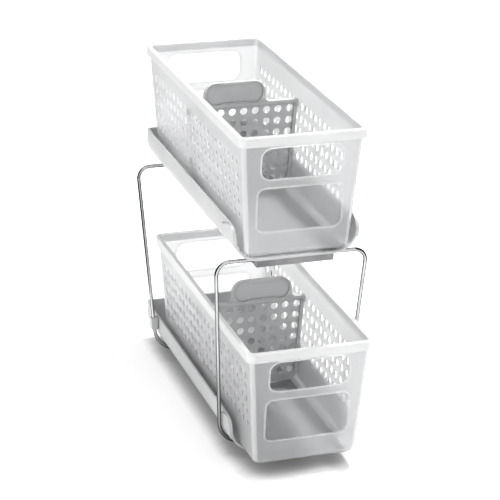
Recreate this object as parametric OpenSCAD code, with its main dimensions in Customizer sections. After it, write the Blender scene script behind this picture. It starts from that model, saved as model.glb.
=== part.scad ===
// Two-tier pull-out cabinet basket.
// Two translucent perforated baskets slide on two shallow trays. Two wire rings carry the upper
// tray over the lower one, and clip bars under the trays hold the rings. Each basket has one
// perforated divider that is pegged into the holes of its side walls.
// Millimetres, +Z up, front towards -Y. The origin is on the floor under the middle of the
// organiser as it stands, with the lower basket pulled out further than the upper one.

/* [Basket] */
// Width over the rim
basket_w = 150; // [130:1:190]
// Length over the rim
basket_l = 382; // [320:1:440]
// Height of a basket, from the underside of its floor to the top of its rim
basket_h = 147; // [140:1:170]
// Thickness of the walls and the floor
wall = 2; // [1.6:0.1:2.6]
// How far each wall leans in from the rim down to the floor
draft = 10.5; // [6:0.5:13]
// Radius of the upright corners
corner_r = 6; // [4:0.5:10]
// Radius of the edge between the walls and the floor
foot_r = 11; // [7:0.5:14]
// Height of the glide rails under the floor
rail_h = 1.2; // [1:0.1:3]
// Width of a glide rail
rail_w = 3; // [2:0.5:6]
// Distance of each glide rail from the middle
rail_x = 42; // [30:1:48]

/* [Rim] */
// Overhang of the rim outside the wall
rim_out = 3.4; // [2.8:0.1:5]
// Height of the turned-down skirt, with the rim's top
rim_drop = 11.5; // [8:0.5:14]
// Thickness of the skirt
skirt = 1.6; // [1.2:0.1:2]
// Thickness of the rim's flat top
rim_top = 2; // [1.5:0.1:3]

/* [Perforation] */
// Diameter of the holes in the side walls
hole_d = 9.5; // [7:0.5:11]
// Distance between neighbouring holes
hole_pitch = 15.3; // [14:0.1:18]
// Rows of holes in a side wall
hole_rows = 5; // [3:1:5]
// Height from the top row of holes to the top of the rim
hole_top = 36; // [30:1:40]
// Least distance from the end of the basket to the middle of a hole
hole_end = 30; // [24:1:60]

/* [Handle and window] */
// Width of the handle openings in the front and rear walls
grip_w = 94; // [70:1:100]
// Height of the handle openings
grip_h = 37; // [28:1:40]
// Corner radius of the handle openings
grip_r = 12; // [6:1:14]
// Distance from the skirt's lower edge to the handle opening
grip_gap = 3.6; // [2.5:0.1:6]
// Width of the clear window
window_w = 99; // [70:1:100]
// Height of the clear window
window_h = 52; // [30:1:54]
// Corner radius of the clear window
window_r = 8; // [4:1:12]
// Distance between the handle opening and the window
window_gap = 10.5; // [8:0.5:14]
// Width of the raised bead round a handle opening or a window
bead_w = 2; // [1.2:0.1:3]
// How far a bead stands out of the wall
bead_h = 0.9; // [0.5:0.1:1.5]
// Depth of the pocket that thins the clear window
pocket = 0.7; // [0.3:0.1:1]

/* [Divider] */
// Thickness of the perforated plate
plate_t = 2.2; // [1.6:0.1:3]
// Depth of the ribs along the plate's upper and side edges, from front to rear
rib = 6; // [4:0.5:8]
// Width of the side ribs
rib_w = 4; // [3:0.2:4.2]
// Height of the upper rib
ledge_h = 4; // [3:0.5:6]
// Distance from the top of the rim to the divider's upper edge
divider_top = 30; // [24:1:34]
// Gap under the divider's lower edge
divider_foot = 3; // [1:0.5:6]
// Gap between the divider and a side wall
divider_gap = 0.5; // [0.3:0.1:1]
// Radius of the divider's lower corners
divider_r = 12; // [10:1:18]
// Diameter of the divider's holes
sieve_d = 9.2; // [6:0.1:10]
// Rows of holes in the divider
sieve_rows = 7; // [3:1:7]
// Columns of holes in the divider
sieve_cols = 9; // [5:2:9]
// Distance between rows of holes in the divider
sieve_pitch = 14.4; // [13:0.1:15]
// Distance from the divider's upper edge to its first row of holes
sieve_top = 11; // [9:0.5:12]
// Distance from the outermost holes to the divider's side
sieve_side = 9; // [8:0.5:12]
// Width of the finger tab at its base
tab_w = 76; // [50:1:84]
// Height of the finger tab
tab_h = 26.5; // [18:0.5:28]
// Radius of the tab's upper corners
tab_r = 15; // [8:1:18]
// Thickness of the tab
tab_t = 5; // [3.6:0.2:6]
// Width of the raised border round the tab
tab_border = 3; // [2:0.5:5]
// Size of the hollow fillets at the foot of the tab
fillet = 6; // [3:0.5:7]
// How far the tab stands off the middle of the divider
tab_shift = 12; // [0:1:20]
// Clearance round a peg in its hole in the side wall
peg_gap = 0.45; // [0.2:0.05:1]
// How far a peg stands out of the outer face of the wall
peg_out = 0.6; // [0.2:0.1:1.2]
// Columns of wall holes from the middle of the basket to the divider, towards the rear
divider_step = 1.5; // [-3.5:1:3.5]

/* [Tray] */
// Width of a tray over its side walls
tray_w = 146; // [144:1:150]
// Length of a tray
tray_l = 360; // [330:1:380]
// Height of a tray's side walls
tray_h = 41; // [36:0.5:46]
// Extra height of a tray's rear wall
tray_rise = 2.5; // [1:0.5:6]
// Length over which a side wall rises to the rear wall
rise_l = 14; // [8:1:24]
// Thickness of a tray
tray_t = 2.2; // [2:0.1:3]
// Radius between a tray's floor and its side walls
tray_r = 28; // [20:1:28]
// Radius of a side wall's upper front corner
tray_nose = 16; // [8:1:20]
// Length of the cheeks at the front of a tray's side walls
cheek_l = 44; // [36:1:60]
// Height of a cheek's lower edge above the tray's underside
cheek_low = 18; // [17:0.5:22]
// How far a cheek's rear end stops below the top of the side wall
cheek_drop = 8; // [4:0.5:12]
// Thickness that a cheek adds to the side wall
cheek_t = 1.6; // [0.8:0.1:1.8]
// Radius of a cheek's lower rear corner
cheek_r = 4; // [1:0.5:6]

/* [Wire rings] */
// Diameter of the wire
wire_d = 4.5; // [4:0.1:5]
// Width of a ring between wire centres, at the top
ring_top_w = 180; // [176:1:200]
// Width of a ring between wire centres, at the bottom
ring_foot_w = 152; // [151:1:160]
// Radius of a ring's upper corners, to the middle of the wire
ring_r = 15; // [10:0.5:20]
// Radius of a ring's lower corners, which follow the rounded tray
ring_foot_r = 30; // [24:0.5:30]
// Distance between the two tiers
tier_h = 235; // [215:1:280]
// Distance from the end of a tray to the upper run of the ring near it
ring_end = 14; // [13:1:30]
// How much further back the front ring's lower run is than its upper run
front_lean = 18; // [8:1:40]
// How much further forward the rear ring's lower run is than its upper run
rear_lean = 44; // [8:1:60]

/* [Clip bars and feet] */
// Width of a clip bar
bar_w = 92; // [70:1:94]
// Depth of a clip bar from front to rear
bar_l = 22; // [20:0.5:24]
// Radius of a bar's upright corners
bar_r = 1; // [0.5:0.5:3]
// Thickness of a bar over the wire
bar_skin = 0.8; // [0.6:0.1:2]
// Clearance round the wire in a bar or leg clip
wire_gap = 0.25; // [0.15:0.05:0.4]
// Height of a bar's snap lips below the wire
lip_h = 3; // [1:0.1:4]
// Width of the mouth that the wire snaps through
mouth = 3.6; // [3:0.1:3.9]
// Diameter of the studs that hold a bar to its tray
stud_d = 5; // [4:0.5:7]
// Distance between a bar's two studs
stud_span = 60; // [40:1:66]
// Clearance round a stud
stud_gap = 0.2; // [0.1:0.05:0.4]
// Thickness of a rubber foot, which keeps the lower clip bars off the floor
floor_gap = 1.5; // [1:0.1:3]
// Width of a rubber foot
foot_w = 12; // [8:0.5:16]
// Length of a rubber foot from front to rear
foot_l = 18; // [17.5:0.5:20]
// Radius of a foot's corners
foot_corner = 3; // [1:0.5:3.5]
// Distance from the end of a bar to a foot
foot_in = 2; // [1.5:0.5:4]
// Diameter of the two pegs on a foot
nub_d = 3.5; // [3:0.1:3.6]
// Height of the pegs on a foot
nub_h = 2.4; // [1.6:0.1:3]
// Distance between the pegs on a foot
nub_span = 13.5; // [13:0.1:14]
// Clearance round a foot's peg in its bar
nub_gap = 0.1; // [0.05:0.05:0.2]
// Height of a leg clip on the lower tray
clip_h = 14; // [10:1:14]
// Distance from a leg clip to the top of the tray's side wall
clip_top = 1; // [0.5:0.5:3]
// Length of a leg clip from front to rear
clip_l = 11; // [9:0.5:14]
// Thickness of a leg clip outside the wire
clip_t = 1.6; // [1.2:0.1:3]

/* [Pull-out] */
// How far the upper basket stands out, past the position where it is pushed home
upper_out = 2; // [0:1:60]
// How far the lower basket stands out, past the position where it is pushed home
lower_out = 48; // [0:1:80]
// Gap between a basket and the rear wall of its tray when pushed home
home_gap = 1; // [0.5:0.1:4]
// Gap under the glide rails, kept so that sliding faces never overlap
glide_gap = 0.2; // [0.1:0.05:0.4]

/* [Hidden] */
$fn = 48;

TRAY_GREY = [0.80, 0.81, 0.82];
BAR_GREY = [0.52, 0.53, 0.54];
DIVIDER_GREY = [0.60, 0.61, 0.62];
FROSTED = [0.90, 0.92, 0.93, 0.55];
CHROME = [0.75, 0.76, 0.78];
RUBBER = [0.20, 0.20, 0.21];

eps = 0.01;                 // thickness of a slice that a hull joins
cut = 1;                    // how far a cutting solid runs past what it cuts
facets = 32;                // facets of the circles inside a hull
lap = 0.5;                  // how far a straight wire runs into a bend
swell = 0.04;               // how much thicker a bend is, so that the wire's end lies inside it

// Levels above the floor
groove_d = wire_d + 2 * wire_gap;                   // hole that the wire lies in
wire_drop = groove_d / 2 + bar_skin;                // from a tray's underside to the wire
bar_h = wire_drop + groove_d / 2 + lip_h;           // height of a clip bar
low_tray_z = floor_gap + bar_h;                     // underside of the lower tray
up_tray_z = low_tray_z + tier_h;                    // underside of the upper tray
low_wire_z = low_tray_z - wire_drop;                // middle of the rings' lower run
foot_x_mid = bar_w / 2 - foot_in - foot_w / 2;      // middle of a foot under its bar
seat = tray_t + glide_gap + rail_h;                 // basket floor above the tray's underside

// Where a basket meets the rear wall of its tray
rear_top = tray_h + tray_rise;                      // top of the tray's rear wall
touch_z = rear_top - seat;                          // the same level in the basket
touch_in = rim_out + draft * (1 - touch_z / basket_h);

// Front-to-rear layout, counted from the front edge of the trays
home_front = tray_l - tray_t - home_gap + touch_in - basket_l;
upper_front = home_front - upper_out;
lower_front = home_front - lower_out;
layout_front = min(0, upper_front, lower_front);
layout_rear = max(tray_l, upper_front + basket_l, lower_front + basket_l);
tray_y = -(layout_front + layout_rear) / 2;         // front edge of the trays
front_top_y = tray_y + ring_end;
front_foot_y = front_top_y + front_lean;
rear_top_y = tray_y + tray_l - ring_end;
rear_foot_y = rear_top_y - rear_lean;

// A wire ring lying flat: the distance between its runs, the angle by which its legs flare, and
// half of each straight run
function ring_rise(lean) = norm([lean, tier_h]);
function flare(lean) = atan((ring_top_w - ring_foot_w) / 2 / ring_rise(lean));
function top_x(lean) = ring_top_w / 2 - ring_r / tan((90 - flare(lean)) / 2);
function foot_x(lean) = ring_foot_w / 2 - ring_foot_r / tan((90 + flare(lean)) / 2);
function leg_l(lean) =
    (ring_rise(lean) - (1 + sin(flare(lean))) * ring_r - (1 - sin(flare(lean))) * ring_foot_r)
    / cos(flare(lean));

// Perforation of a side wall
hole_cols = 2 * floor((basket_l - 2 * hole_end) / hole_pitch / 2 + 0.5);
divider_y = basket_l / 2 + divider_step * hole_pitch;

// Half of the inner and outer width of a basket, z above its floor's underside
function lean(z) = draft * (1 - z / basket_h);
function outer_half(z) = basket_w / 2 - rim_out - lean(z);
function inner_half(z) = outer_half(z) - wall;

// Inset of the rounded edge of radius r at height z above the edge's lowest point
function edge_inset(r, z) = z >= r ? 0 : r - sqrt(r * r - (r - z) * (r - z));

// Handle opening and window, heights above the basket floor's underside
grip_z = basket_h - rim_drop - grip_gap - grip_h;
window_z = grip_z - window_gap - window_h;
lean_angle = atan(draft / basket_h);

// Divider heights, above the basket floor's underside
plate_top = basket_h - divider_top;
plate_foot = wall + divider_foot;
function plate_half(z) = inner_half(z) - divider_gap;
function hole_z(row) = basket_h - hole_top - row * hole_pitch;

// ---------- shared shapes ----------

// A shape and its mirror image in x = 0
module both_sides() {
    children();
    mirror([1, 0, 0]) children();
}

// Rectangle with round corners, centred in x, standing on y = 0
module rounded(w, h, r) {
    translate([-w / 2, r]) square([w, h - 2 * r]);
    translate([-w / 2 + r, 0]) square([w - 2 * r, h]);
    for (side = [-1, 1], y = [r, h - r]) translate([side * (w / 2 - r), y]) circle(r);
}

// Block with round upright corners, centred in x, from y = 0
module rounded_block(w, l, h, r) {
    linear_extrude(h) rounded(w, l, r);
}

// One level of a basket's shell: half width a, from y = front to y = rear, corner radius r
module level(a, front, rear, z, r) {
    for (side = [-1, 1], y = [front + r, rear - r])
        translate([side * (a - r), y, z]) cylinder(r = r, h = eps, $fn = facets);
}

// Solid inside a basket's walls: inset 0 is the outer face and inset wall the inner one
module tub(inset, top) {
    edge = foot_r - inset;
    heights = [for (a = [0:15:75]) edge * (1 - cos(a)), edge, top - inset];
    hull() for (h = heights) {
        z = inset + h;
        in = inset + edge_inset(edge, h);
        front = rim_out + lean(z) + in;
        level(outer_half(z) - in, front, basket_l - front, z, max(corner_r - inset, 1));
    }
}

// Stands a flat shape up in the leaning front wall, its lower edge at height z
module on_front(z, depth, out) {
    translate([0, rim_out + lean(z) + depth, z])
        rotate([90 + lean_angle, 0, 0]) linear_extrude(depth + out) children();
}

// The same for the front wall and, mirrored, for the rear wall
module on_both_ends(z, depth, out) {
    on_front(z, depth, out) children();
    translate([0, basket_l, 0]) mirror([0, 1, 0]) on_front(z, depth, out) children();
}

// Flat frame round an opening
module frame_of(w, h, r, band) {
    difference() {
        translate([0, -band]) rounded(w + 2 * band, h + 2 * band, r + band);
        rounded(w, h, r);
    }
}

// ---------- basket ----------

// Rim with a turned-down skirt, hollow below
module rim() {
    rim_r = corner_r + rim_out;
    translate([0, 0, basket_h - rim_drop]) difference() {
        rounded_block(basket_w, basket_l, rim_drop, rim_r);
        translate([0, skirt, -cut])
            rounded_block(basket_w - 2 * skirt, basket_l - 2 * skirt,
                          rim_drop - rim_top + cut, rim_r - skirt);
    }
}

// Round holes through both side walls
module perforation() {
    first = basket_l / 2 - (hole_cols - 1) / 2 * hole_pitch;
    for (col = [0:hole_cols - 1], row = [0:hole_rows - 1])
        translate([0, first + col * hole_pitch, hole_z(row)])
            rotate([0, 90, 0]) cylinder(d = hole_d, h = basket_w, center = true, $fn = 24);
}

module glide_rails() {
    run = basket_l - 2 * (rim_out + draft + foot_r);
    for (side = [-1, 1])
        translate([side * rail_x - rail_w / 2, (basket_l - run) / 2, -rail_h])
            cube([rail_w, run, rail_h + wall / 2]);
}

// A basket, its front rim at y = 0 and the underside of its floor at z = 0
module basket() {
    color(FROSTED) difference() {
        union() {
            rim();
            tub(0, basket_h - eps);
            glide_rails();
            on_both_ends(grip_z, wall / 2, bead_h) frame_of(grip_w, grip_h, grip_r, bead_w);
            on_both_ends(window_z, wall / 2, bead_h)
                frame_of(window_w, window_h, window_r, bead_w);
        }
        tub(wall, basket_h + cut);
        translate([0, -cut, grip_z]) rotate([90, 0, 0])
            translate([0, 0, -basket_l - 2 * cut])
                linear_extrude(basket_l + 2 * cut) rounded(grip_w, grip_h, grip_r);
        on_both_ends(window_z, pocket, bead_h + cut)
            rounded(window_w, window_h, window_r);
        perforation();
    }
}

// ---------- divider ----------

// Outline of the perforated plate, seen from the front
module plate_outline() {
    bend = plate_foot + divider_r;
    corner_x = plate_half(bend) - divider_r;
    polygon([[-plate_half(plate_top), plate_top], [plate_half(plate_top), plate_top],
             [plate_half(bend), bend], [-plate_half(bend), bend]]);
    translate([-corner_x, plate_foot]) square([2 * corner_x, divider_r + cut]);
    for (side = [-1, 1]) translate([side * corner_x, bend]) circle(divider_r);
}

// Rows of holes that draw together as the plate narrows
module sieve() {
    mid = (sieve_cols - 1) / 2;
    for (row = [0:sieve_rows - 1]) {
        z = plate_top - sieve_top - row * sieve_pitch;
        for (col = [-mid:mid])
            translate([col * (plate_half(z) - sieve_side) / mid, z]) circle(d = sieve_d, $fn = 24);
    }
}

// Rib along one side edge of the plate
module side_rib() {
    foot = plate_foot + divider_r;
    polygon([[plate_half(plate_top) - rib_w, plate_top], [plate_half(plate_top), plate_top],
             [plate_half(foot), foot], [plate_half(foot) - rib_w, foot]]);
}

// Finger tab, standing on y = 0, with a hollow fillet on each side of its foot
module tab_outline() {
    side_x = tab_w / 2;
    curve = [for (t = [180:15:270]) [side_x + fillet * (1 + cos(t)), fillet * (1 + sin(t))]];
    translate([-side_x, -cut]) square([tab_w, tab_h - tab_r + cut]);
    translate([-side_x + tab_r, 0]) square([tab_w - 2 * tab_r, tab_h]);
    both_sides() {
        translate([side_x - tab_r, tab_h - tab_r]) circle(tab_r);
        polygon(concat(curve, [[side_x + fillet, -cut], [side_x - cut, -cut],
                               [side_x - cut, fillet]]));
    }
}

// Flat shapes of the divider stand in the middle plane of its column of holes
module upright(t) {
    rotate([90, 0, 0]) linear_extrude(t, center = true) children();
}

module pegs() {
    for (row = [0, hole_rows - 1], side = [-1, 1]) {
        z = hole_z(row);
        from = plate_half(z) - rib_w / 2;
        translate([side * from, 0, z]) rotate([0, side * 90, 0])
            cylinder(d = hole_d - 2 * peg_gap, h = outer_half(z) + peg_out - from);
    }
}

// A divider in the basket's own frame. facing is 1, or -1 when it is turned to face the rear
module divider(facing) {
    hollow = (tab_t - plate_t) / 2;
    color(DIVIDER_GREY) translate([0, divider_y, 0]) rotate([0, 0, facing > 0 ? 0 : 180])
    difference() {
        union() {
            upright(plate_t) difference() { plate_outline(); sieve(); }
            both_sides() upright(rib) side_rib();
            upright(rib) translate([-plate_half(plate_top), plate_top - ledge_h])
                square([2 * plate_half(plate_top), ledge_h]);
            upright(tab_t) translate([-tab_shift, plate_top]) tab_outline();
            pegs();
        }
        for (face = [-1, 1]) translate([0, face * (plate_t + hollow + cut) / 2, 0])
            upright(hollow + cut) translate([-tab_shift, plate_top + tab_border / 2])
                rounded(tab_w - 2 * tab_border, tab_h - 1.5 * tab_border, tab_r - tab_border);
    }
}

// ---------- tray ----------

// Cross-section of a tray up to the height h, its outer face moved in by inset
module channel_outline(h, inset) {
    w = tray_w - 2 * inset;
    r = tray_r - inset;
    translate([0, inset]) intersection() {
        rounded(w, h + 2 * r, r);
        translate([-w / 2, 0]) square([w, h - inset]);
    }
}

// Stands a cross-section up so that it runs rearwards from y = from
module along_tray(from, run) {
    translate([0, from + run, 0]) rotate([90, 0, 0]) linear_extrude(run) children();
}

// Side view of a cheek: [distance from the front edge, height]
function cheek_points() = let (rise = tray_h - cheek_drop) concat(
    [for (s = [0:0.125:1])
        [cheek_l - s * (cheek_l - tray_nose), rise + cheek_drop * s * s * (3 - 2 * s)]],
    [[0, tray_h], [0, cheek_low]],
    [for (a = [-90:15:0]) [cheek_l - cheek_r * (1 - cos(a)), cheek_low + cheek_r * (1 + sin(a))]]);

// A shape seen from the side, in [y, z], given the thickness t from x = from outwards
module side_plate(from, t) {
    for (side = [-1, 1]) translate([side > 0 ? from : -from - t, 0, 0])
        rotate([90, 0, 90]) linear_extrude(t) children();
}

// The cheeks of both side walls, which follow the curve of the wall
module cheeks() {
    intersection() {
        along_tray(0, cheek_l) difference() {
            channel_outline(tray_h, -cheek_t);
            channel_outline(tray_h + cut, tray_t / 2);
        }
        side_plate(tray_r, tray_w) polygon(cheek_points());
    }
}

// The two places in front-to-rear order where a bar is held, from the tray's front edge
function bar_places(lower) = lower ? [front_foot_y - tray_y, rear_foot_y - tray_y]
                                   : [front_top_y - tray_y, rear_top_y - tray_y];

// What rounds off the upper front corners of both side walls
module nose_cut() {
    reach = tray_w / 2 + cheek_t + cut;
    side_plate(-reach, 2 * reach) difference() {
        translate([-cut, tray_h - tray_nose]) square([tray_nose + cut, tray_nose + cut]);
        translate([tray_nose, tray_h - tray_nose]) circle(tray_nose);
    }
}

// A tray, its front edge at y = 0 and its underside at z = 0
module tray(bar_places) {
    rear_corner = [[tray_l - rise_l, tray_r], [tray_l, tray_r], [tray_l, rear_top],
                   [tray_l - rise_l / 3, rear_top], [tray_l - rise_l, tray_h]];
    difference() {
        union() {
            along_tray(0, tray_l) difference() {
                channel_outline(tray_h, 0);
                channel_outline(tray_h + cut, tray_t);
            }
            along_tray(tray_l - tray_t, tray_t) channel_outline(rear_top, 0);
            side_plate(tray_w / 2 - tray_t, tray_t) polygon(rear_corner);
            cheeks();
        }
        nose_cut();
        for (y = bar_places, side = [-1, 1])
            translate([side * stud_span / 2, y, -cut])
                cylinder(d = stud_d + 2 * stud_gap, h = tray_t + 2 * cut);
    }
}

// Snap clips on the lower tray's side walls, for the legs of the rear ring
module leg_clips() {
    low = tray_h - clip_top - clip_h;
    mid = (low + clip_h / 2 + wire_drop) / tier_h;
    leg_x = ring_foot_w / 2 + mid * (ring_top_w - ring_foot_w) / 2;
    leg_y = rear_foot_y - tray_y + mid * rear_lean;
    near = tray_w / 2 - tray_t / 2;
    reach = leg_x + groove_d / 2 + clip_t;
    for (side = [-1, 1])
        translate([side > 0 ? near : -reach, leg_y - clip_l / 2, low])
            cube([reach - near, clip_l, clip_h]);
}

// What the leg clips leave free: a hole for each leg, open to the rear through a narrower mouth
module leg_space() {
    below = ring_foot_r / 8;                        // over which the bend hardly leaves the line
    l = leg_l(rear_lean) + below;
    stand_ring(rear_foot_y, rear_lean) on_legs(rear_lean) translate([0, 0, -below]) {
        cylinder(d = groove_d, h = l);
        translate([-mouth / 2, 0, 0]) cube([mouth, clip_l, l]);
    }
}

module lower_tray() {
    color(TRAY_GREY) difference() {
        translate([0, tray_y, low_tray_z]) {
            tray([front_foot_y - tray_y, rear_foot_y - tray_y]);
            leg_clips();
        }
        leg_space();
    }
}

module upper_tray() {
    color(TRAY_GREY) translate([0, tray_y, up_tray_z])
        tray([front_top_y - tray_y, rear_top_y - tray_y]);
}

// ---------- wire rings ----------
// A ring is drawn lying flat, x to the side and y up along its leaning plane, and then stood up.
// Its lean is how much further forward the lower run is than the upper one.

module stand_ring(foot_y, lean) {
    translate([0, foot_y, low_wire_z]) rotate([90 - atan(lean / tier_h), 0, 0]) children();
}

// Places a shape that runs up from z = 0 along both legs of a flat ring
module on_legs(lean) {
    f = flare(lean);
    both_sides() translate([foot_x(lean) + ring_foot_r * cos(f), ring_foot_r * (1 - sin(f)), 0])
        rotate([-90, 0, -f]) children();
}

// One rounded corner of radius r of a flat ring, from the angle start, on both sides
module bends(x, y, r, start, turn) {
    both_sides() translate([x, y, 0]) rotate([0, 0, start]) rotate_extrude(angle = turn)
        translate([r, 0]) circle(d = wire_d + swell);
}

// A straight run across a flat ring at height y, half of it given
module run_across(half, y) {
    translate([-half - lap, y, 0]) rotate([0, 90, 0]) cylinder(d = wire_d, h = 2 * (half + lap));
}

// A closed ring of wire
module ring(foot_y, lean) {
    rise = ring_rise(lean);
    f = flare(lean);
    color(CHROME) stand_ring(foot_y, lean) {
        run_across(top_x(lean), rise);
        run_across(foot_x(lean), 0);
        bends(top_x(lean), rise - ring_r, ring_r, -f, 90 + f);
        bends(foot_x(lean), ring_foot_r, ring_foot_r, -90, 90 - f);
        on_legs(lean) translate([0, 0, -lap]) cylinder(d = wire_d, h = leg_l(lean) + 2 * lap);
    }
}

module front_ring() { ring(front_foot_y, -front_lean); }
module rear_ring() { ring(rear_foot_y, rear_lean); }

// ---------- clip bars and feet ----------

// The two pegs of a foot, or the holes for them
module nubs(d, h) {
    for (end = [-1, 1]) translate([0, end * nub_span / 2, 0]) cylinder(d = d, h = h);
}

// A clip bar under a tray, its top at z = 0. The wire snaps in from below
module bar() {
    difference() {
        union() {
            translate([0, -bar_l / 2, -bar_h]) rounded_block(bar_w, bar_l, bar_h, bar_r);
            for (side = [-1, 1]) translate([side * stud_span / 2, 0, -cut])
                cylinder(d = stud_d, h = tray_t + cut);
        }
        translate([0, 0, -wire_drop]) rotate([0, 90, 0])
            cylinder(d = groove_d, h = bar_w + 2 * cut, center = true);
        translate([-bar_w / 2 - cut, -mouth / 2, -bar_h - cut])
            cube([bar_w + 2 * cut, mouth, bar_h - wire_drop + cut]);
        for (side = [-1, 1]) translate([side * foot_x_mid, 0, -bar_h - cut])
            nubs(nub_d + 2 * nub_gap, nub_h + 2 * nub_gap + cut);
    }
}

module bar_at(y, z) {
    color(BAR_GREY) translate([0, y, z]) bar();
}

module lower_front_bar() { bar_at(front_foot_y, low_tray_z); }
module lower_rear_bar() { bar_at(rear_foot_y, low_tray_z); }
module upper_front_bar() { bar_at(front_top_y, up_tray_z); }
module upper_rear_bar() { bar_at(rear_top_y, up_tray_z); }

// A rubber foot pressed into the underside of a lower clip bar, across the bar's mouth
module foot(side, y) {
    color(RUBBER) translate([side * foot_x_mid, y, 0]) {
        translate([0, -foot_l / 2, 0]) rounded_block(foot_w, foot_l, floor_gap, foot_corner);
        nubs(nub_d, floor_gap + nub_h);
    }
}

module foot_front_left() { foot(-1, front_foot_y); }
module foot_front_right() { foot(1, front_foot_y); }
module foot_rear_left() { foot(-1, rear_foot_y); }
module foot_rear_right() { foot(1, rear_foot_y); }

// ---------- baskets in place ----------

module in_upper() {
    translate([0, tray_y + upper_front, up_tray_z + seat]) children();
}

module in_lower() {
    translate([0, tray_y + lower_front, low_tray_z + seat]) children();
}

module upper_basket() { in_upper() basket(); }
module upper_divider() { in_upper() divider(1); }
module lower_basket() { in_lower() basket(); }
module lower_divider() { in_lower() divider(-1); }

lower_tray();
upper_tray();
front_ring();
rear_ring();
lower_front_bar();
lower_rear_bar();
upper_front_bar();
upper_rear_bar();
foot_front_left();
foot_front_right();
foot_rear_left();
foot_rear_right();
upper_basket();
upper_divider();
lower_basket();
lower_divider();
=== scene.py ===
"""Looks of the two-tier pull-out cabinet basket: two frosted baskets on two grey trays."""

import logging
import math
from collections.abc import Callable, Iterable, Sequence
from dataclasses import dataclass, field
from enum import Enum, IntEnum

import bmesh
import bpy
from mathutils import Matrix, Vector


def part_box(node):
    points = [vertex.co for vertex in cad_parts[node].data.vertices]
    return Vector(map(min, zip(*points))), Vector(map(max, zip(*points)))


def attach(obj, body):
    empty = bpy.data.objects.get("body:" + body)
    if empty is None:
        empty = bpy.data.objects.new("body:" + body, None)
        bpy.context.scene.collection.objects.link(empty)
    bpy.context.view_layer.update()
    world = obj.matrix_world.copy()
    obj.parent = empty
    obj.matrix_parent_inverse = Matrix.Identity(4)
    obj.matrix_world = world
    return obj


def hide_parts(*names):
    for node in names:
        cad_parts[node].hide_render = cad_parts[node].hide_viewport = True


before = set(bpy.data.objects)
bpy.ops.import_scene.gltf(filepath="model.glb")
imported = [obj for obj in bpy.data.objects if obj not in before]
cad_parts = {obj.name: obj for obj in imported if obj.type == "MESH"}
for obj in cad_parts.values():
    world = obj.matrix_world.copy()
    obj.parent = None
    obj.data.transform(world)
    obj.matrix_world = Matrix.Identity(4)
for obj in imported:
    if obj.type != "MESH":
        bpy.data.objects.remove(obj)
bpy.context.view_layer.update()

LOG = logging.getLogger("cabinet_basket")

MM = 0.001
WELD_REACH = 0.00001
BUMP_DEPTH = 0.0001
SMOOTH_WEIGHT = 90
SMOOTH_ANGLE = 32.0
BEVEL_ANGLE = 38.0
SHADE_SAMPLES = 8

# Sockets of a colour Mix node, whose names occur more than once.
MIX_FACTOR, MIX_FIRST, MIX_SECOND, MIX_RESULT = 0, 6, 7, 2

WHITE = (1.0, 1.0, 1.0, 1.0)
DUST_COLOUR = (0.74, 0.73, 0.71, 1.0)
# Painted dark reflection at the chrome wire's grazing edges.
CHROME_PAINTED_DARK_EDGE = (0.015, 0.015, 0.017, 1.0)
CARD_BLACK = (0.01, 0.01, 0.01, 1.0)

# Rings of the cutters: depth from the middle of the wall, outwards, and offset of the outline.
HOLE_CUT = ((-1.5, 0.6), (-1.1, 0.6), (-0.87, 0.13), (-0.55, 0.0), (0.55, 0.0), (0.87, 0.13),
            (1.1, 0.6), (1.5, 0.6))
GRIP_CUT = ((-2.0, 0.9), (-1.15, 0.9), (-0.8, 0.2), (-0.3, 0.0), (3.0, 0.0))

Outline = Callable[[float], list[tuple[float, float]]]
Colour = tuple[float, float, float]


class Body(Enum):
    """The bodies of the frame that the baskets ride on."""

    UPPER = "upper_basket"
    LOWER = "lower_basket"


class Slot(Enum):
    """The record's material slot named basket."""

    BASKET = "basket"


class Zone(IntEnum):
    """The zones of a basket that have a finish each, and the slots that hold them."""

    WALL = 0
    WINDOW = 1
    RIM = 2
    FLOOR = 3
    CORNER = 4


class Face(Enum):
    """Which way a wall of a basket looks."""

    FRONT = (0, -1)
    REAR = (0, 1)
    LEFT = (-1, 0)
    RIGHT = (1, 0)


# ---------------------------------------------------------------- shader groups


class NodeBench:
    """Adds nodes to one node tree and joins them."""

    def __init__(self, tree: bpy.types.NodeTree) -> None:
        """Takes the tree to work on."""
        self.tree = tree

    def add(self, kind: str, settings: dict | None = None, **values: object) -> bpy.types.Node:
        """Adds a node.

        Args:
            kind: Node type without the leading ShaderNode.
            settings: Properties of the node itself.
            **values: Input values, or the output sockets that feed them, by input name with
                underscores for spaces.

        Returns:
            The new node.
        """
        node = self.tree.nodes.new("ShaderNode" + kind)
        for name, value in (settings or {}).items():
            setattr(node, name, value)
        for name, value in values.items():
            socket = node.inputs[name.replace("_", " ")]
            if isinstance(value, bpy.types.NodeSocket):
                self.tree.links.new(value, socket)
            else:
                socket.default_value = value
        return node

    def math(self, operation: str, *terms: object) -> bpy.types.NodeSocket:
        """Adds a Math node.

        Args:
            operation: The operation's name.
            *terms: Numbers or sockets.

        Returns:
            The result's socket.
        """
        node = self.tree.nodes.new("ShaderNodeMath")
        node.operation = operation
        for socket, value in zip(node.inputs, terms):
            if isinstance(value, bpy.types.NodeSocket):
                self.tree.links.new(value, socket)
            else:
                socket.default_value = value
        return node.outputs[0]

    def span(self, value: bpy.types.NodeSocket, low: float, high: float,
             start: float, end: float) -> bpy.types.NodeSocket:
        """Maps a value from low..high to start..end, held at the ends.

        Args:
            value: The value to map.
            low: Where the input range starts.
            high: Where it ends.
            start: The result at low.
            end: The result at high.

        Returns:
            The mapped value's socket.
        """
        node = self.add("MapRange", {"clamp": True}, Value=value, From_Min=low, From_Max=high,
                        To_Min=start, To_Max=end)
        return node.outputs["Result"]


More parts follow.
